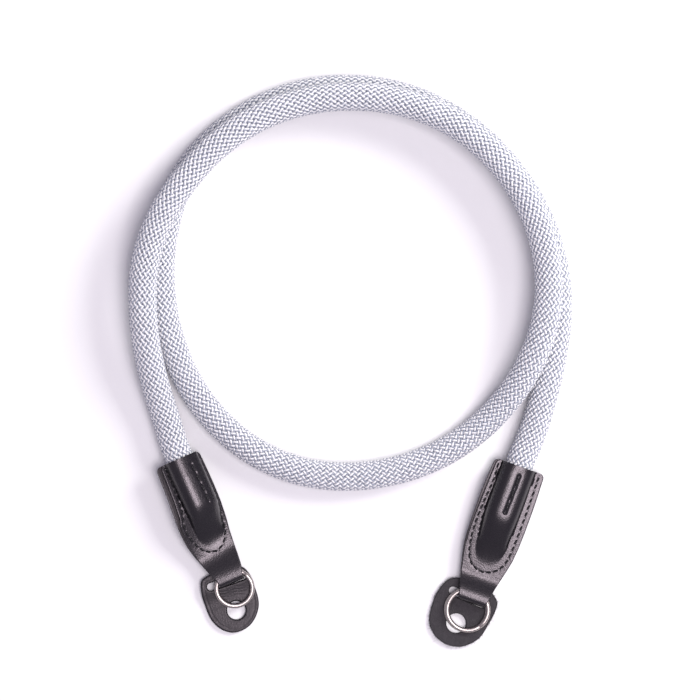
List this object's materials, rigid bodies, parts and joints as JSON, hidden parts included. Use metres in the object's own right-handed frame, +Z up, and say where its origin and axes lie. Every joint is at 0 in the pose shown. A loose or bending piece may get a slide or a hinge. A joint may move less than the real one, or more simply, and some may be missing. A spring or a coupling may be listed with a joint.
{
  "type": "camera strap",
  "caption": "Round braided rope camera strap laid in a coil, with sewn leather ends, split rings and leather bumper pads.",
  "frame": {"origin": "on the surface that the strap lies on, under the middle of the box round its two leather ends, rings and bumper pads", "axes": "+X from the left end to the right end as the picture shows them, +Y from the ends towards the coil, +Z up"},
  "size_m": [0.1819, 0.2356, 0.0245],
  "materials": {
    "rope": "tight round braid of white and blue-grey yarns",
    "smooth_leather": "smooth black grain leather with a soft gloss",
    "rough_leather": "matte black flesh side with a fuzzy cut edge",
    "steel": "bright drawn spring wire"
  },
  "bodies": {
    "root": {"rope": "rope", "leather_end_left": "smooth_leather", "leather_end_right": "smooth_leather", "bumper_left": "smooth_leather", "bumper_right": "rough_leather", "ring_left": "steel", "ring_right": "steel"}
  },
  "joints": []
}
